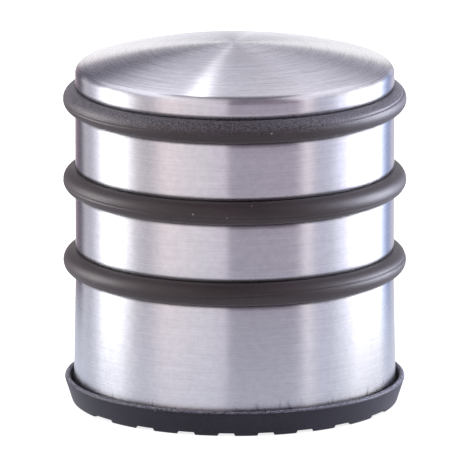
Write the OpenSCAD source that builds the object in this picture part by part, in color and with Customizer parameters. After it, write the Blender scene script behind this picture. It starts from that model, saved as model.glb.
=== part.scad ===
// Weighted door stop: a domed steel shell filled with cement, with rubber
// rings in rolled grooves and a ribbed rubber cup for a foot.
// All sizes are in millimetres. The origin is on the floor, on the axis.

/* [Shell] */
// Height from the floor to the top of the dome
total_h = 90; // [75:0.5:120]
// Outer diameter of the straight bands
body_d = 78.7; // [62:0.1:100]
// Thickness of the steel sheet
sheet_t = 0.6; // [0.4:0.05:0.8]
// Radius of the ball that the dome is cut from
dome_r = 134; // [100:1:400]
// Radius of the bend between the dome and the wall
shoulder_bend = 2.3; // [1.5:0.1:4]
// Straight wall between the shoulder bend and the upper groove
shoulder_wall = 2.1; // [1:0.1:8]
// Straight wall on the band between two grooves
band_wall = 11.7; // [6:0.1:16]
// How far the lowest band has flared out where it meets the foot
skirt_flare = 0.5; // [0:0.05:0.8]
// Radius of the bend at the bottom edge
curl_bend = 1.6; // [1.2:0.1:2.4]
// Width of the flange that is turned in under the closing plate
flange_w = 3; // [1.5:0.1:8]

/* [Rings] */
// Thickness of the rubber cord
cord_d = 5.6; // [4:0.1:7]
// How far a ring stands out from the wall
ring_proud = 3; // [2.2:0.05:3.6]
// Radius by which a groove is wider than the cord
groove_play = 0.05; // [0.02:0.01:0.3]
// Radius of the rolled edges of a groove
groove_bend = 2; // [1:0.1:3]

/* [Foot] */
// Height of the foot's rim above the floor
foot_h = 6.5; // [5:0.1:10]
// Thickness of the foot's wall
foot_wall = 1.4; // [1:0.1:2]
// Gap between the steel and the inner edge of the rim
rim_gap = 0.8; // [0.6:0.05:2]
// How far the foot's wall leans out from its bottom edge to its rim
foot_lean = 1.65; // [0.8:0.05:2]
// Rubber between the ribs and the shell
web_t = 1.8; // [1:0.1:3]
// Height of the ribs under the foot
rib_h = 0.8; // [0.4:0.1:1.5]
// Width of a rib where it stands on the floor
rib_w = 5.3; // [3:0.1:7]
// Distance from one rib to the next
rib_pitch = 9.7; // [8:0.1:14]
// How much wider a rib is at its root, on each side
rib_flank = 0.4; // [0:0.05:0.6]

/* [Inside] */
// Thickness of the closing plate
plate_t = 1; // [0.6:0.1:2]
// Clearance round the closing plate and the adhesive disc
disc_gap = 0.15; // [0.05:0.05:0.5]
// Gap that the cement leaves to the steel as it shrinks
cast_gap = 0.05; // [0.02:0.01:0.2]

/* [Hidden] */
$fn = 128;
beyond = 1;  // how far a cut runs past the face that it opens

body_r = body_d / 2;
skirt_r = body_r + skirt_flare;
cord_r = cord_d / 2;

// The shell stands on the foot's web
shell_z = rib_h + web_t;
plate_z = shell_z + sheet_t;
cast_z = plate_z + plate_t;

// Centre of the dome's ball, and centre of the shoulder bend that runs into it
dome_z = total_h - dome_r;
shoulder_r = body_r - shoulder_bend;
shoulder_z = dome_z + sqrt(pow(dome_r - shoulder_bend, 2) - pow(shoulder_r, 2));

// A ring's centre line, and its groove, which the cord touches at the bottom
ring_r = body_r + ring_proud - cord_r;
groove_r = cord_r + groove_play;
groove_centre_r = ring_r + groove_play;

// Centres of a groove's two rolled edges, half the groove's height from its middle
edge_r = body_r - groove_bend;
groove_half = sqrt(pow(groove_r + groove_bend, 2) - pow(groove_centre_r - edge_r, 2));

upper_z = shoulder_z - shoulder_wall - groove_half;
groove_pitch = band_wall + 2 * groove_half;
middle_z = upper_z - groove_pitch;
lower_z = middle_z - groove_pitch;

// Centre of the bend at the bottom edge, and the slope of the wall above it
curl_r = skirt_r - curl_bend;
curl_z = shell_z + curl_bend;
skirt_top_z = lower_z - groove_half;
skirt_slope = atan(skirt_flare / (skirt_top_z - curl_z));

// The foot's wall, as the centres of its rounded rim and rounded bottom edge
round_r = foot_wall / 2;
rim_r = skirt_r + rim_gap + round_r;
rim_z = foot_h - round_r;
heel_r = rim_r - foot_lean;
heel_z = round_r;
wall_slope = atan2(rim_z - heel_z, rim_r - heel_r);
tread_gap = rib_pitch - rib_w;
tread_reach = heel_r + round_r + tread_gap / 2;

// What one groove takes out of the shell's outline, with the sheet inset from it
module groove_cut(z, inset) {
    difference() {
        polygon([
            [edge_r, z + groove_half],
            [groove_centre_r, z],
            [edge_r, z - groove_half],
            [body_r + beyond, z - groove_half],
            [body_r + beyond, z + groove_half]
        ]);
        for (side = [-1, 1])
            translate([edge_r, z + side * groove_half]) circle(r = groove_bend - inset);
    }
    translate([groove_centre_r, z]) circle(r = groove_r + inset);
}

// Half of the dome's section, as far out as the line where the shoulder bend takes over
module dome_half(inset) {
    past_rim = (dome_r + beyond) / (dome_r - shoulder_bend);
    intersection() {
        translate([0, dome_z]) circle(r = dome_r - inset);
        polygon([
            [0, shoulder_z],
            [shoulder_r, shoulder_z],
            [shoulder_r * past_rim, dome_z + (shoulder_z - dome_z) * past_rim],
            [shoulder_r, total_h + beyond],
            [0, total_h + beyond]
        ]);
    }
}

// Half of the shell's outline, moved in by inset from its outer face
module outline(inset) {
    wall_r = body_r - inset;
    curl_in = curl_bend - inset;
    difference() {
        union() {
            dome_half(inset);
            translate([shoulder_r, shoulder_z]) circle(r = shoulder_bend - inset);
            polygon([
                [0, shell_z + inset],
                [curl_r, shell_z + inset],
                [curl_r, curl_z],
                [curl_r + curl_in * cos(skirt_slope), curl_z + curl_in * sin(skirt_slope)],
                [wall_r, skirt_top_z],
                [wall_r, shoulder_z],
                [0, shoulder_z]
            ]);
            translate([curl_r, curl_z]) circle(r = curl_in);
        }
        for (z = [upper_z, middle_z, lower_z]) groove_cut(z, inset);
    }
}

// Deep-drawn shell: dome, bands and rolled grooves in one sheet, open at the bottom
module shell() {
    color("#b9b6be")
    rotate_extrude()
    difference() {
        outline(0);
        outline(sheet_t);
        translate([0, shell_z - beyond]) square([curl_r - flange_w, beyond + sheet_t]);
    }
}

// Rubber cord ring, seated on the bottom of its groove
module ring(z) {
    color("#4c4649")
    rotate_extrude()
    translate([ring_r, z]) circle(r = cord_r);
}

module upper_ring() { ring(upper_z); }
module middle_ring() { ring(middle_z); }
module lower_ring() { ring(lower_z); }

// Cement cast into the shell, keyed in behind the grooves
module ballast() {
    color("#9a9892")
    rotate_extrude()
    intersection() {
        outline(sheet_t + cast_gap);
        translate([0, cast_z]) square([body_r + skirt_flare, total_h]);
    }
}

// Steel disc that closes the bottom, held by the flange of the shell
module closing_plate() {
    color("#8f9296")
    translate([0, 0, plate_z]) cylinder(h = plate_t, r = curl_r - disc_gap);
}

// Double-sided adhesive disc, as thick as the step that the flange makes
module adhesive_disc() {
    color("#d8d2c0")
    translate([0, 0, shell_z]) cylinder(h = sheet_t, r = curl_r - flange_w - disc_gap);
}

// Half of the foot's section: a flat web and a leaning wall with a rounded rim
module foot_half() {
    side_r = round_r * sin(wall_slope);
    side_z = round_r * cos(wall_slope);
    square([heel_r, shell_z]);
    polygon([
        [heel_r + side_r, heel_z - side_z],
        [rim_r + side_r, rim_z - side_z],
        [rim_r - side_r, rim_z + side_z],
        [heel_r - side_r, heel_z + side_z]
    ]);
    translate([heel_r, heel_z]) circle(r = round_r);
    translate([rim_r, rim_z]) circle(r = round_r);
}

// One straight groove between two ribs, at its place across the foot
module tread_groove(x) {
    mouth = tread_gap / 2;
    root = mouth - rib_flank;
    slope = rib_flank / rib_h;
    translate([x, tread_reach, 0])
    rotate([90, 0, 0])
    linear_extrude(2 * tread_reach)
    polygon([
        [-mouth - slope * beyond, -beyond],
        [mouth + slope * beyond, -beyond],
        [root, rib_h],
        [-root, rib_h]
    ]);
}

// Moulded rubber cup, ribbed underneath from front to back
module foot() {
    color("#3a383f")
    difference() {
        rotate_extrude() foot_half();
        for (x = [rib_pitch / 2 : rib_pitch : tread_reach])
            for (side = [-1, 1]) tread_groove(side * x);
    }
}

shell();
upper_ring();
middle_ring();
lower_ring();
ballast();
closing_plate();
adhesive_disc();
foot();
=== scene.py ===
import math

import bpy
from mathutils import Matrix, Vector


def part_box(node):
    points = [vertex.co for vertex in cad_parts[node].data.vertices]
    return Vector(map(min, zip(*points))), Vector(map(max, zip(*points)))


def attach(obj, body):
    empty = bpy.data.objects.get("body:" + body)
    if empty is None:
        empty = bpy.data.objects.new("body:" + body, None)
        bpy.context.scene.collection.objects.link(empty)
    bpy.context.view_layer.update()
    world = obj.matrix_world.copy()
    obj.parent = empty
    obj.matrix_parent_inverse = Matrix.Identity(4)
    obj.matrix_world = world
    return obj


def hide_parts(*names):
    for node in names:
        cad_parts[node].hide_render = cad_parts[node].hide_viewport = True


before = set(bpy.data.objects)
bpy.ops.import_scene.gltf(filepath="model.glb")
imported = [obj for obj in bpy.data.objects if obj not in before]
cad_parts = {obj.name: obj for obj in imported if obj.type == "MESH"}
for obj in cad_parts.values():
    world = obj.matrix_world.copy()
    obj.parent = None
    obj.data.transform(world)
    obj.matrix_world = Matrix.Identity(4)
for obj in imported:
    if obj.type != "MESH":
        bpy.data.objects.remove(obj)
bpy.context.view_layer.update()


# ---------------------------------------------------------------------------
# Shell. One cup of 0.6 mm stainless sheet, deep drawn to the dome and the wall.
# Three grooves are rolled into the wall, the bottom edge is curled in under the
# closing plate, and a belt then brushes the whole outside round its axis.
# ---------------------------------------------------------------------------

MM = 0.001

shell_low, shell_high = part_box("shell")
SHEET = 0.6 * MM
DOME_R = 134 * MM
SHOULDER_BEND = 2.3 * MM
SKIRT_FLARE = 0.5 * MM     # how far the lowest band has widened at its foot
CURL_BEND = 1.6 * MM
FLANGE = 3 * MM
GROOVE_PLAY = 0.05 * MM    # radius by which a groove is wider than its ring
GROOVE_BEND = 2 * MM
RING_NODES = ("upper_ring", "middle_ring", "lower_ring")

SKIRT_R = shell_high.x
BODY_R = SKIRT_R - SKIRT_FLARE
SHELL_Z = shell_low.z
DOME_Z = shell_high.z - DOME_R
SHELL_STEPS = 384
WALL_ROWS = 5              # rows of faces on the wall above each groove
SKIRT_ROWS = 10            # and on the lowest band


def ring_place(node):
    """Radius of the ring's centre line, its height, and the radius of its cord."""
    low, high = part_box(node)
    cord_r = (high.z - low.z) / 2
    return high.x - cord_r, (low.z + high.z) / 2, cord_r


def arc(centre, radius, start, end, steps):
    """Points from one angle to the other, in degrees, round a centre in the section."""
    points = []
    for i in range(steps + 1):
        a = math.radians(start + (end - start) * i / steps)
        points.append((centre[0] + radius * math.cos(a), centre[1] + radius * math.sin(a)))
    return points


def shell_line(inset):
    """Half section of one face of the sheet, from the top of the dome to the flange."""
    shoulder_r = BODY_R - SHOULDER_BEND
    shoulder_z = DOME_Z + math.sqrt((DOME_R - SHOULDER_BEND) ** 2 - shoulder_r ** 2)
    rim = math.degrees(math.atan2(shoulder_z - DOME_Z, shoulder_r))
    line = arc((0, DOME_Z), DOME_R - inset, 90, rim, 28)
    line += arc((shoulder_r, shoulder_z), SHOULDER_BEND - inset, rim, 0, 12)[1:]

    # each groove: the wall down to it, its upper edge, the seat of the ring, its lower edge
    edge_r = BODY_R - GROOVE_BEND
    for node in RING_NODES:
        ring_r, ring_z, cord_r = ring_place(node)
        centre_r, groove_r = ring_r + GROOVE_PLAY, cord_r + GROOVE_PLAY
        half = math.sqrt((groove_r + GROOVE_BEND) ** 2 - (centre_r - edge_r) ** 2)
        turn = math.degrees(math.atan2(half, centre_r - edge_r))
        above = ring_z + half
        start = line[-1][1]
        line += [(BODY_R - inset, start + (above - start) * i / WALL_ROWS) for i in range(1, WALL_ROWS)]
        line += arc((edge_r, above), GROOVE_BEND - inset, 0, -turn, 8)
        line += arc((centre_r, ring_z), groove_r + inset, 180 - turn, 180 + turn, 16)[1:]
        line += arc((edge_r, ring_z - half), GROOVE_BEND - inset, turn, 0, 8)[1:]

    # the lowest band flares out evenly down to the curl
    curl = (SKIRT_R - CURL_BEND, SHELL_Z + CURL_BEND)
    start = line[-1][1]
    slope = math.degrees(math.atan2(SKIRT_FLARE, start - curl[1]))
    bend = arc(curl, CURL_BEND - inset, slope, -90, 10)
    for i in range(1, SKIRT_ROWS):
        share = i / SKIRT_ROWS
        line.append((BODY_R - inset + SKIRT_FLARE * share, start + (bend[0][1] - start) * share))
    return line + bend + [(curl[0] - FLANGE, SHELL_Z + inset)]


def new_piece(name, points, faces, sharp_angle=40):
    """An object from points and faces, smooth apart from its real edges."""
    mesh = bpy.data.meshes.new(name)
    mesh.from_pydata(points, [], faces)
    mesh.validate()
    mesh.shade_smooth()
    mesh.set_sharp_from_angle(angle=math.radians(sharp_angle))
    piece = bpy.data.objects.new(name, mesh)
    bpy.context.scene.collection.objects.link(piece)
    return piece


def lathe(name, line, steps):
    """Turns a half section about Z. Its two ends are closed on the axis."""
    middle = line[1:-1]
    points = [(0, 0, line[0][1]), (0, 0, line[-1][1])]
    for i in range(steps):
        a = math.tau * i / steps
        points += [(r * math.cos(a), r * math.sin(a), z) for r, z in middle]
    rows = len(middle)
    faces = []
    for i in range(steps):
        here, there = 2 + i * rows, 2 + (i + 1) % steps * rows
        faces.append((0, here, there))
        faces += [(here + k, here + k + 1, there + k + 1, there + k) for k in range(rows - 1)]
        faces.append((1, there + rows - 1, here + rows - 1))
    return new_piece(name, points, faces)


def linear(code):
    """Linear colour with alpha from an sRGB hex code such as c5c2c6."""
    parts = [int(code[i:i + 2], 16) / 255 for i in (0, 2, 4)]
    return [p / 12.92 if p <= 0.04045 else ((p + 0.055) / 1.055) ** 2.4 for p in parts] + [1.0]


def add(tree, kind, settings=None, links=None, stops=None):
    """Adds a shader node with its properties and socket values, links its inputs from other
    nodes or their outputs, and gives a colour ramp its (position, hex colour) stops."""
    node = tree.nodes.new("ShaderNode" + kind)
    for key, value in (settings or {}).items():
        if isinstance(key, str) and hasattr(node, key):
            setattr(node, key, value)
        else:
            node.inputs[key].default_value = value
    for key, source in (links or {}).items():
        tree.links.new(getattr(source, "outputs", [source])[0], node.inputs[key])
    if stops:
        elements = node.color_ramp.elements
        while len(elements) < len(stops):
            elements.new(1)
        for element, (position, code) in zip(elements, stops):
            element.position = position
            element.color = linear(code)
    return node


def new_material(name):
    """A material with an empty node tree, and the tree."""
    material = bpy.data.materials.new(name)
    material.use_nodes = True
    material.node_tree.nodes.clear()
    return material, material.node_tree


def brushed_stainless_steel():
    """Stainless steel, belt brushed round the axis: a soft glow drawn out across the brushing, coarser
    lines on the dome, and fine puckers where the bottom edge was curled in, which are bumped and carry
    painted shade in their folds."""
    material, tree = new_material("stainless_steel_belt_brushed")
    line_gap = 0.3 * MM       # the real lines are under 0.1 mm apart, too fine to show
    line_length = 14 * MM
    blotch = 1.6 * MM
    pucker_gap = 1.1 * MM
    pucker_length = 6 * MM
    pucker_top = 9 * MM       # the height at which they have died out
    dome_edge = 83 * MM       # the height at which the coarser brushing sets in

    place = add(tree, "TexCoord").outputs["Object"]
    level = add(tree, "SeparateXYZ", links={0: place}).outputs["Z"]
    flat = add(tree, "VectorMath", {"operation": "MULTIPLY", 1: (1, 1, 0)}, {0: place})
    out = add(tree, "VectorMath", {"operation": "LENGTH"}, {0: flat}).outputs["Value"]
    along = add(tree, "Math", {"operation": "SUBTRACT"}, {0: out, 1: level})

    def round_the_axis(source, source_scale, rise, rise_scale, detail):
        """Noise that runs round the axis on one scale and up the section on another."""
        turn = add(tree, "VectorMath", {"operation": "SCALE", "Scale": source_scale}, {0: source})
        across = add(tree, "SeparateXYZ", links={0: turn}).outputs
        climb = add(tree, "Math", {"operation": "MULTIPLY", 1: rise_scale}, {0: rise})
        at = add(tree, "CombineXYZ", links={0: across["X"], 1: across["Y"], 2: climb})
        return add(tree, "TexNoise", {"Scale": 1.0, "Detail": detail, "Roughness": 0.6}, {"Vector": at})

    # brushing: full strength on the dome, faint on the wall, over a fine mottle
    fine = round_the_axis(flat, 1 / line_length, along, 1 / line_gap, 3.0)
    mottle = round_the_axis(flat, 1 / blotch, level, 1 / blotch, 3.0)
    on_dome = add(tree, "MapRange", {"From Min": dome_edge, "From Max": dome_edge + 1 * MM, "To Min": 0.3},
                  {"Value": level})
    off_mean = add(tree, "Math", {"operation": "SUBTRACT", 1: 0.5}, {0: fine})
    lines = add(tree, "Math", {"operation": "MULTIPLY"}, {0: off_mean, 1: on_dome})

    # puckers: short upright folds that die out upwards from the curl; they are bumped, and darkened as
    # painted shade in the folds
    unit = add(tree, "VectorMath", {"operation": "NORMALIZE"}, {0: flat})
    folds = round_the_axis(unit, BODY_R / pucker_gap, level, 1 / pucker_length, 1.0)
    near_edge = add(tree, "MapRange", {"From Min": pucker_top, "From Max": pucker_top - 3 * MM},
                    {"Value": level})
    deep = add(tree, "MapRange", {"From Min": 0.62, "From Max": 0.7}, {"Value": folds})
    pucker_and_shade = add(tree, "Math", {"operation": "MULTIPLY"}, {0: deep, 1: near_edge})

    tone = add(tree, "Math", {"operation": "ADD", 1: 0.5}, {0: lines})
    uneven = add(tree, "Math", {"operation": "SUBTRACT", 1: 0.5}, {0: mottle})
    tone = add(tree, "Math", {"operation": "MULTIPLY_ADD", 1: 0.22}, {0: uneven, 2: tone})
    # painted shade: the folds darken the colour
    tone = add(tree, "Math", {"operation": "MULTIPLY_ADD", 1: -0.4}, {0: pucker_and_shade, 2: tone})
    colour = add(tree, "ValToRGB", links={"Fac": tone},
                 stops=[(0.1, "94949a"), (0.4, "c4c3c8"), (0.65, "dddce1")])
    rough = add(tree, "MapRange", {"To Min": 0.25, "To Max": 0.29}, {"Value": fine})
    height = add(tree, "Math", {"operation": "MULTIPLY_ADD", 1: -1.5}, {0: pucker_and_shade, 2: lines})
    bump = add(tree, "Bump", {"Strength": 0.4, "Distance": 0.02 * MM}, {"Height": height})
    tangent = add(tree, "Tangent", {"direction_type": "RADIAL", "axis": "Z"})
    steel = add(tree, "BsdfPrincipled",
                {"Metallic": 1.0, "Anisotropic": 0.95, "Anisotropic Rotation": 0.25},
                {"Base Color": colour, "Roughness": rough, "Normal": bump, "Tangent": tangent})
    add(tree, "OutputMaterial", links={"Surface": steel})
    return material


shell = lathe("shell_brushed", shell_line(0) + shell_line(SHEET)[::-1], SHELL_STEPS)
shell.data.materials.append(brushed_stainless_steel())
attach(shell, "root")
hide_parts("shell")


# ---------------------------------------------------------------------------
# Rings. Three endless cords of black rubber, moulded in two halves, which leaves
# a fine crease along the cord. Each is stretched over the shell and snaps into
# its groove, where the crease comes to lie a little twisted.
# ---------------------------------------------------------------------------

RING_STEPS = 360
CORD_STEPS = 56
CREASE_DEPTH = 0.15 * MM
CREASE_WIDTH = 4           # degrees round the cord
CROWDING = 1.6             # how closely the points crowd round the crease
# Middle of the crease's wander round the cord, how far it wanders, and where, in degrees
RING_TWIST = {"upper_ring": (22, 26, 60), "middle_ring": (-14, 16, -80), "lower_ring": (-12, 36, 110)}
# Heights over which the top of the upper ring is painted paler in patches: a painted sheen of the light
# from above
RING_SHEEN = (75.5 * MM, 82 * MM)


def moulded_rubber(name, dark, pale, gleam, sheen_and_wear):
    """Black rubber from a fine-eroded mould: matt, with a soft sheen, fine grain and stray dust.
    From the first height up it is painted paler in patches, and fully so at the second: a painted sheen on
    the top of the upper ring, and on the foot's rim a painted highlight with speckled wear."""
    material, tree = new_material(name)
    cloudiness = 14 * MM
    grain = 0.3 * MM          # the real grain is about 0.1 mm, too fine to show
    dust_gap = 4.5 * MM

    place = add(tree, "TexCoord").outputs["Object"]
    cloud = add(tree, "TexNoise", {"Scale": 1 / cloudiness, "Detail": 3.0}, {"Vector": place})
    fine = add(tree, "TexNoise", {"Scale": 1 / grain, "Detail": 2.0}, {"Vector": place})
    tone = add(tree, "Math", {"operation": "MULTIPLY_ADD", 1: 0.5}, {0: cloud, 2: fine})
    colour = add(tree, "ValToRGB", links={"Fac": tone}, stops=[(0.55, dark), (0.95, pale)])

    cells = add(tree, "TexVoronoi", {"Scale": 1 / dust_gap, "Randomness": 1.0}, {"Vector": place})
    speck = add(tree, "MapRange", {"From Min": 0.05, "From Max": 0.03, "To Max": 0.5},
                {"Value": cells.outputs["Distance"]})
    colour = add(tree, "Mix", {"data_type": "RGBA", 7: linear("b4b0ac")}, {0: speck, 6: colour}).outputs[2]

    # painted sheen: above a height the colour turns paler in patches, as light falling on the top would
    # make it; on the foot's rim it is partly speckled wear too
    level = add(tree, "SeparateXYZ", links={0: place}).outputs["Z"]
    edge = add(tree, "MapRange", {"From Min": sheen_and_wear[0], "From Max": sheen_and_wear[1]}, {"Value": level})
    sheen_and_wear_patches = add(tree, "MapRange", {"From Min": 0.4, "From Max": 0.62}, {"Value": fine})
    painted_sheen_and_wear = add(tree, "Math", {"operation": "MULTIPLY"}, {0: edge, 1: sheen_and_wear_patches})
    colour = add(tree, "Mix", {"data_type": "RGBA", 7: linear("8e8e9c")}, {0: painted_sheen_and_wear, 6: colour}).outputs[2]

    bump = add(tree, "Bump", {"Strength": 0.8, "Distance": 0.06 * MM}, {"Height": fine})
    rubber = add(tree, "BsdfPrincipled",
                 {"Roughness": 0.5, "Specular IOR Level": gleam,
                  "Sheen Weight": 0.06, "Sheen Roughness": 0.4},
                 {"Base Color": colour, "Normal": bump})
    add(tree, "OutputMaterial", links={"Surface": rubber})
    return material


def moulded_ring(node):
    """A cord ring whose section carries the crease of the mould, slightly wandering."""
    ring_r, ring_z, cord_r = ring_place(node)
    middle, wander, phase = RING_TWIST[node]
    points, faces = [], []
    for i in range(RING_STEPS):
        a = math.tau * i / RING_STEPS
        twist = middle + wander * math.sin(a + math.radians(phase)) + 3 * math.sin(3 * a)
        for k in range(CORD_STEPS):
            share = 2 * k / CORD_STEPS - 1
            off = 180 * math.copysign(abs(share) ** CROWDING, share)
            reach = cord_r - CREASE_DEPTH * math.exp(-(off / CREASE_WIDTH) ** 2)
            b = math.radians(twist + off)
            r = ring_r + reach * math.cos(b)
            points.append((r * math.cos(a), r * math.sin(a), ring_z + reach * math.sin(b)))
        here, there = i * CORD_STEPS, (i + 1) % RING_STEPS * CORD_STEPS
        for k in range(CORD_STEPS):
            n = (k + 1) % CORD_STEPS
            faces.append((here + k, there + k, there + n, here + n))
    return new_piece(node + "_moulded", points, faces, 60)


ring_rubber = moulded_rubber("ring_rubber_moulded", "251d1f", "32282b", 0.4, RING_SHEEN)
rings = []
for node in RING_NODES:
    ring = moulded_ring(node)
    ring.data.materials.append(ring_rubber)
    rings.append(ring)
    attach(ring, "root")
    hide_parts(node)


# ---------------------------------------------------------------------------
# Foot. A shallow cup moulded in hard-wearing black rubber, with a wall that leans
# out and straight ribs underneath that grip the floor. It is stuck to the
# closing plate, and its rim stands free of the steel.
# ---------------------------------------------------------------------------

foot_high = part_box("foot")[1]
FOOT_WALL = 1.4 * MM
FOOT_LEAN = 1.65 * MM
RIB_H = 0.8 * MM
RIB_W = 5.3 * MM
RIB_PITCH = 9.7 * MM
RIB_FLANK = 0.4 * MM       # how much wider a rib is at its root, on each side
RIB_ROUNDING = 0.12 * MM
GROOVE_PLACES = [RIB_PITCH * k / 2 for k in (-7, -5, -3, -1, 1, 3, 5, 7)]
COLUMN_STEP = 2            # degrees
RIM_WAVE = 0.06 * MM
# Heights over which the top of the foot's rim is painted paler in patches: a painted highlight, with
# speckled wear
RIM_SHEEN_AND_WEAR = (5.9 * MM, 6.4 * MM)


def foot_line():
    """Half section of the cup from under its heel, over the rim and down to the web, and
    the number of the row that lies level with the groove roofs."""
    half = FOOT_WALL / 2
    heel = (foot_high.x - half - FOOT_LEAN, half)
    rim = (foot_high.x - half, foot_high.z - half)
    out = math.degrees(math.atan2(rim[1] - heel[1], FOOT_LEAN)) - 90
    line = [(heel[0] - half, 0)] + arc(heel, half, -90, out, 5)
    low, high = line[-1], arc(rim, half, out, out, 1)[0]
    slope = (high[0] - low[0]) / (high[1] - low[1])
    roof = len(line)
    for k in range(5):
        z = RIB_H + k * MM
        line.append((low[0] + slope * (z - low[1]), z))
    line += arc(rim, half, out, out + 180, 12)
    inner = line[-1]
    for z in (4.4 * MM, 3.4 * MM, SHELL_Z):
        line.append((inner[0] + slope * (z - inner[1]), z))
    return line, roof


def ribbed_cup(name):
    """The foot's mesh: columns round the wall that keep to the ribs' edges, and strips below."""
    line, roof = foot_line()
    roof_r = line[roof][0]
    root = (RIB_PITCH - RIB_W) / 2 - RIB_FLANK

    # angles from the left end to the right, with the side of a groove that each edge is
    marks = [(-90, 0)]
    for place in GROOVE_PLACES:
        marks += [(math.degrees(math.asin((place + side * root) / roof_r)), side) for side in (-1, 1)]
    marks.append((90, 0))
    columns, grooved = [], []
    for k, (start, side) in enumerate(marks[:-1]):
        end = marks[k + 1][0]
        steps = math.ceil((end - start) / COLUMN_STEP)
        for i in range(steps):
            columns.append((start + (end - start) * i / steps, side if i == 0 else 0))
            grooved.append(k % 2 == 1)
    columns.append(marks[-1])

    # each column has a point for every row of the section, on the front and on the back
    points, number = [], {}
    for c, (angle, side) in enumerate(columns):
        a = math.radians(angle)
        for row, (r, z) in enumerate(line):
            x = r * math.sin(a)
            if side and z < RIB_H:
                x = roof_r * math.sin(a) + side * RIB_FLANK * (1 - z / RIB_H)
            y = math.sqrt(max(r * r - x * x, 0))
            for face in (-1, 1):
                if abs(angle) == 90 and face == 1:
                    number[c, row, 1] = number[c, row, -1]
                    continue
                number[c, row, face] = len(points)
                turn = math.atan2(face * y, x)
                wave = math.sin(5 * turn + 1) + math.sin(13 * turn) + 0.6 * math.sin(29 * turn)
                lift = RIM_WAVE * wave / 2 * max(z - SHELL_Z, 0) / (foot_high.z - SHELL_Z)
                points.append((x, face * y, z + min(lift, 0)))

    # the wall, then a strip from front to back above and below, then the grooves' flanks
    faces = []
    for c in range(len(columns) - 1):
        first = roof if grooved[c] else 0
        for face in (-1, 1):
            for row in range(first, len(line) - 1):
                ring = [number[c, row, face], number[c + 1, row, face],
                        number[c + 1, row + 1, face], number[c, row + 1, face]]
                faces.append(ring if face == -1 else ring[::-1])
        for row, up in ((first, False), (len(line) - 1, True)):
            strip = [number[c, row, -1], number[c, row, 1],
                     number[c + 1, row, 1], number[c + 1, row, -1]]
            faces.append(strip[::-1] if up else strip)
        side = columns[c][1]
        if side:
            for row in range(roof):
                flank = [number[c, row, -1], number[c, row + 1, -1],
                         number[c, row + 1, 1], number[c, row, 1]]
                faces.append(flank if side == 1 else flank[::-1])

    # at the two ends of a row the front and the back meet in one point
    faces = [list(dict.fromkeys(face)) for face in faces]
    cup = new_piece(name, points, [face for face in faces if len(face) > 2])
    bevel = cup.modifiers.new("rounding", "BEVEL")
    bevel.width = RIB_ROUNDING
    bevel.segments = 2
    bevel.limit_method = "ANGLE"
    bevel.angle_limit = math.radians(45)
    return cup


foot = ribbed_cup("foot_ribbed")
foot.data.materials.append(moulded_rubber("foot_rubber_moulded", "17151d", "25232e", 0.22, RIM_SHEEN_AND_WEAR))
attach(foot, "root")
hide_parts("foot")


# ---------------------------------------------------------------------------
# Ballast. Cement poured into the upturned shell and left to set. It keys in
# behind the grooves and gives the stop its weight.
# ---------------------------------------------------------------------------

def cast_cement():
    """Cement, cast against steel: grey, chalky and slightly blotched, with small air holes."""
    material, tree = new_material("cement_cast")
    blotch = 9 * MM
    hole_gap = 3 * MM
    place = add(tree, "TexCoord").outputs["Object"]
    cloud = add(tree, "TexNoise", {"Scale": 1 / blotch, "Detail": 5.0}, {"Vector": place})
    colour = add(tree, "ValToRGB", links={"Fac": cloud}, stops=[(0.3, "8f8d87"), (0.7, "aaa7a0")])
    holes = add(tree, "TexVoronoi", {"Scale": 1 / hole_gap}, {"Vector": place})
    bump = add(tree, "Bump", {"Strength": 0.5, "Distance": 0.3 * MM}, {"Height": holes.outputs["Distance"]})
    cement = add(tree, "BsdfPrincipled", {"Roughness": 0.9, "IOR": 1.5},
                 {"Base Color": colour, "Normal": bump})
    add(tree, "OutputMaterial", links={"Surface": cement})
    return material


def finish_node(node, material):
    """Gives a piece that keeps its shape from the frame its material."""
    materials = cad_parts[node].data.materials
    materials.clear()
    materials.append(material)


finish_node("ballast", cast_cement())


# ---------------------------------------------------------------------------
# Closing plate. A blanked disc of zinc plated steel that keeps the cement in; the
# shell's edge is curled over it. It is out of sight above the foot.
# ---------------------------------------------------------------------------

def zinc_plated_steel():
    """Rolled steel sheet, zinc plated: dull grey, with the straight grain of the rolls and
    faint blotches."""
    material, tree = new_material("steel_sheet_zinc_plated")
    grain_gap = 0.5 * MM
    blotch = 7 * MM
    place = add(tree, "TexCoord").outputs["Object"]
    drawn = add(tree, "VectorMath", {"operation": "MULTIPLY", 1: (0.04, 1, 1)}, {0: place})
    grain = add(tree, "TexNoise", {"Scale": 1 / grain_gap, "Detail": 3.0}, {"Vector": drawn})
    cloud = add(tree, "TexNoise", {"Scale": 1 / blotch, "Detail": 4.0}, {"Vector": place})
    tone = add(tree, "Math", {"operation": "MULTIPLY_ADD", 1: 0.5}, {0: grain, 2: cloud})
    colour = add(tree, "ValToRGB", links={"Fac": tone}, stops=[(0.55, "b4b8bf"), (0.95, "cdd0d5")])
    rough = add(tree, "MapRange", {"To Min": 0.36, "To Max": 0.5}, {"Value": cloud})
    bump = add(tree, "Bump", {"Strength": 0.3, "Distance": 0.02 * MM}, {"Height": grain})
    zinc = add(tree, "BsdfPrincipled", {"Metallic": 1.0},
               {"Base Color": colour, "Roughness": rough, "Normal": bump})
    add(tree, "OutputMaterial", links={"Surface": zinc})
    return material


finish_node("closing_plate", zinc_plated_steel())


# ---------------------------------------------------------------------------
# Adhesive disc. Acrylic adhesive on both sides of a punched polyester film; it
# fills the step inside the curled edge and holds the foot on the closing plate.
# ---------------------------------------------------------------------------

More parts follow.
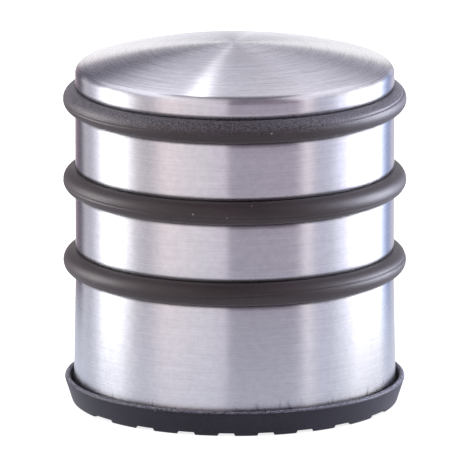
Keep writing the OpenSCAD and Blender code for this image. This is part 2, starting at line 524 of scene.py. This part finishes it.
def coated_adhesive():
    """Acrylic adhesive, coated on film: straw coloured, tacky and wet looking, a little
    stippled."""
    material, tree = new_material("acrylic_adhesive_coated")
    blotch = 6 * MM
    stipple_gap = 0.8 * MM
    place = add(tree, "TexCoord").outputs["Object"]
    cloud = add(tree, "TexNoise", {"Scale": 1 / blotch, "Detail": 3.0}, {"Vector": place})
    stipple = add(tree, "TexNoise", {"Scale": 1 / stipple_gap, "Detail": 2.0}, {"Vector": place})
    colour = add(tree, "ValToRGB", links={"Fac": cloud}, stops=[(0.3, "d2cab2"), (0.7, "e0dac6")])
    bump = add(tree, "Bump", {"Strength": 0.4, "Distance": 0.05 * MM}, {"Height": stipple})
    film = add(tree, "BsdfPrincipled", {"Roughness": 0.28, "IOR": 1.47},
               {"Base Color": colour, "Normal": bump})
    add(tree, "OutputMaterial", links={"Surface": film})
    return material


finish_node("adhesive_disc", coated_adhesive())


# ---------------------------------------------------------------------------
# Stage. A white paper sweep and a camera with a long lens. White, grey and dark
# cards stand round the object for the steel to mirror, with one lamp high up
# behind it and a soft box on either side.
# ---------------------------------------------------------------------------

VIEW_AZIMUTH = -4.0
VIEW_ELEVATION = 12.9
VIEW_DISTANCE = 2.75
FRAME_WIDTH = 116.1 * MM
AIM = Vector((0.06 * MM, 0, 41.3 * MM))
SENSOR = 36.0


def direction(azimuth, elevation):
    """Unit vector towards a place seen from the object, azimuth 0 at -Y and 90 at +X."""
    a, e = math.radians(azimuth), math.radians(elevation)
    return Vector((math.sin(a) * math.cos(e), -math.cos(a) * math.cos(e), math.sin(e)))


camera = bpy.data.objects.new("camera", bpy.data.cameras.new("camera"))
bpy.context.scene.collection.objects.link(camera)
camera.data.sensor_width = SENSOR
camera.data.lens = SENSOR * VIEW_DISTANCE / FRAME_WIDTH
camera.data.clip_start = 0.1
camera.data.clip_end = 20
camera.location = AIM + VIEW_DISTANCE * direction(VIEW_AZIMUTH, VIEW_ELEVATION)
camera.rotation_euler = direction(VIEW_AZIMUTH, VIEW_ELEVATION).to_track_quat("Z", "Y").to_euler()
bpy.context.scene.camera = camera

FLOOR_REACH = 30
FLOOR_GAP = 0.05 * MM      # keeps the floor out of the plane of the ribs
TABLE_R = 130 * MM
TABLE_LIGHT = 2.0


def white_paper():
    """White paper, matt, lit from behind until it is burnt out to plain white."""
    material, tree = new_material("white_paper_sweep")
    paper = add(tree, "BsdfDiffuse", {"Color": linear("f0f0f0")})
    glow = add(tree, "Emission", {"Color": linear("ffffff"), "Strength": 0.8})
    both = add(tree, "AddShader", links={0: paper, 1: glow})
    add(tree, "OutputMaterial", links={"Surface": both})
    return material


def mirrored_table():
    """A table in even soft light: what the lowest band of the steel mirrors close by."""
    material, tree = new_material("table_in_soft_light")
    glow = add(tree, "Emission", {"Color": linear("acb0ba"), "Strength": TABLE_LIGHT})
    add(tree, "OutputMaterial", links={"Surface": glow})
    return material


def flat_sheet(name, outline, z, material):
    """A level sheet of the stage with the given outline."""
    sheet = new_piece(name, [(x, y, z) for x, y in outline], [tuple(range(len(outline)))])
    sheet.data.materials.append(material)
    return sheet


corners = [(FLOOR_REACH * x, FLOOR_REACH * y) for x, y in ((-1, -1), (1, -1), (1, 1), (-1, 1))]
floor = flat_sheet("floor", corners, -FLOOR_GAP, white_paper())
floor.visible_glossy = False

table_top = flat_sheet("table_top", arc((0, 0), TABLE_R, 0, 360, 96)[:-1], 0, mirrored_table())
table_top.visible_camera = False
table_top.visible_diffuse = False
table_top.visible_shadow = False

# What stands round the object, level with it or higher, as (azimuth from the main view, colour)
CARDS = [
    (-180, "dcdcdc"), (-168, "7a7173"), (-160, "5a5059"), (-146, "3a3942"), (-138, "939195"),
    (-128, "85848b"), (-117, "bcbcc2"), (-108, "ffffff"), (-92, "ffffff"), (-76, "a09c9d"),
    (-66, "8c878c"), (-52, "b6acac"), (-20, "a4a0a3"), (-9, "9a9198"), (-7, "a49ca3"),
    (-4, "5a525b"), (44.5, "5b535d"), (48.5, "867f88"), (54, "bfb8ba"), (60, "959299"),
    (67, "8f8e9e"), (74, "95989e"), (89, "d6d7dc"), (98, "ffffff"), (127, "ffffff"),
    (136, "9ea8c2"), (146, "5f6b86"), (158, "918e9b"), (168, "6f7371"), (180, "dcdcdc"),
]
# The same for what lies further down, well below the object's level
TABLE = [
    (-180, "d4d2d4"), (-166, "766d71"), (-160, "685c65"), (-146, "46444e"), (-138, "8d8a8d"),
    (-128, "7c7c82"), (-117, "acadb8"), (-108, "dcdce8"), (-92, "e9e5ef"), (-76, "999496"),
    (-66, "868285"), (-52, "a9a09e"), (-20, "989498"), (-6, "b2adb4"), (43, "bbb2bc"),
    (51, "9c959a"), (64, "89878e"), (74, "92939a"), (90, "bab7ed"), (129, "cde9fc"),
    (138, "97a4be"), (146, "4e5973"), (158, "918e9b"), (180, "d4d2d4"),
]
# The ceiling on the left and on the right, as (elevation, colour)
CEILING_LEFT = [
    (11, "57555e"), (22, "424049"), (28, "55535c"), (36, "9997a0"), (46, "bdbdc3"),
    (60, "bdbdc3"), (68, "3d3b40"), (90, "363439"),
]
CEILING_RIGHT = [
    (11, "716f78"), (22, "68666f"), (28, "86848d"), (36, "a09ea5"), (46, "b8b6bc"),
    (60, "b8b6bc"), (68, "3d3b40"), (90, "363439"),
]
CARD_LIGHT = 2.8
BACKDROP_LIGHT = 1.2


def by_angle(stops, span):
    """Stops at angles in degrees, moved to a ramp's 0 to 1 over a span centred on 0."""
    return [(angle / span + 0.5, code) for angle, code in stops]


world = bpy.data.worlds.new("studio")
bpy.context.scene.world = world
world.use_nodes = True
tree = world.node_tree
tree.nodes.clear()

# where a ray goes: its azimuth from the main view, and its elevation
outward = add(tree, "TexCoord").outputs["Generated"]
turned = add(tree, "VectorRotate", {"rotation_type": "Z_AXIS", "Angle": -math.radians(VIEW_AZIMUTH)},
             {"Vector": outward})
parts = add(tree, "SeparateXYZ", links={0: turned}).outputs
ahead = add(tree, "Math", {"operation": "MULTIPLY", 1: -1.0}, {0: parts["Y"]})
bearing = add(tree, "Math", {"operation": "ARCTAN2"}, {0: parts["X"], 1: ahead})
share = add(tree, "Math", {"operation": "MULTIPLY_ADD", 1: 1 / math.tau, 2: 0.5}, {0: bearing})
height = add(tree, "Math", {"operation": "ARCSINE"}, {0: parts["Z"]})
rise = add(tree, "Math", {"operation": "MULTIPLY_ADD", 1: 1 / math.pi, 2: 0.5}, {0: height})

cards = add(tree, "ValToRGB", links={"Fac": share}, stops=by_angle(CARDS, 360))
table = add(tree, "ValToRGB", links={"Fac": share}, stops=by_angle(TABLE, 360))
level = add(tree, "MapRange", {"From Min": math.radians(-45), "From Max": math.radians(-2)},
            {"Value": height})
around = add(tree, "Mix", {"data_type": "RGBA"}, {0: level, 6: table, 7: cards}).outputs[2]

left = add(tree, "ValToRGB", links={"Fac": rise}, stops=by_angle(CEILING_LEFT, 180))
right = add(tree, "ValToRGB", links={"Fac": rise}, stops=by_angle(CEILING_RIGHT, 180))
side = add(tree, "MapRange", {"From Min": -0.1, "From Max": 0.15}, {"Value": parts["X"]})
ceiling = add(tree, "Mix", {"data_type": "RGBA"}, {0: side, 6: left, 7: right}).outputs[2]

# The ceiling comes down low behind the object and lower beside it than in front,
# as (azimuths between which it sets in, elevations between which it sets in)
covered = add(tree, "MapRange", {"From Min": math.radians(58), "From Max": math.radians(70)},
              {"Value": height})
for near, far, low, high in ((103, 118, 11, 12), (60, 75, 16, 26)):
    zone = add(tree, "MapRange", {"From Min": -math.cos(math.radians(near)),
                                  "From Max": -math.cos(math.radians(far))}, {"Value": parts["Y"]})
    above = add(tree, "MapRange", {"From Min": math.radians(low), "From Max": math.radians(high)},
                {"Value": height})
    both = add(tree, "Math", {"operation": "MULTIPLY"}, {0: zone, 1: above})
    covered = add(tree, "Math", {"operation": "MAXIMUM"}, {0: both, 1: covered})
surroundings = add(tree, "Mix", {"data_type": "RGBA"}, {0: covered, 6: around, 7: ceiling}).outputs[2]

# the camera itself sees a plain white backdrop
room = add(tree, "Background", {"Strength": CARD_LIGHT}, {"Color": surroundings})
white = add(tree, "Background", {"Color": linear("ffffff"), "Strength": BACKDROP_LIGHT})
seen = add(tree, "LightPath").outputs["Is Camera Ray"]
pick = add(tree, "MixShader", links={0: seen, 1: room, 2: white})
add(tree, "OutputWorld", links={"Surface": pick})

LAMP_DISTANCE = 1.5


def lamp(name, azimuth, elevation, energy):
    """An area lamp that faces the object, placed by its angles from the main view."""
    source = bpy.data.objects.new(name, bpy.data.lights.new(name, "AREA"))
    bpy.context.scene.collection.objects.link(source)
    source.data.energy = energy
    towards = direction(azimuth + VIEW_AZIMUTH, elevation)
    source.location = LAMP_DISTANCE * towards
    source.rotation_euler = towards.to_track_quat("Z", "Y").to_euler()
    source.visible_camera = False
    return source


# High up behind, for the bright streak on the dome
key = lamp("key_light", -167, 60, 0.7)
key.data.shape = "DISK"
key.data.size = 0.08

# On both sides, just above its level, for the sheen of the rubber alone: the steel has the cards
rubber_pieces = bpy.data.collections.new("rubber_pieces")
for piece in rings + [foot]:
    rubber_pieces.objects.link(piece)
for azimuth, width, energy, tint in ((108, 0.75, 70, "dde2f6"), (-104, 0.4, 27, "f6f2f4")):
    soft_box = lamp("side_light", azimuth, 8, energy)
    soft_box.data.shape = "RECTANGLE"
    soft_box.data.size = width
    soft_box.data.size_y = 1.0
    soft_box.data.color = linear(tint)[:3]
    soft_box.light_linking.receiver_collection = rubber_pieces

bpy.context.scene.view_settings.view_transform = "Standard"
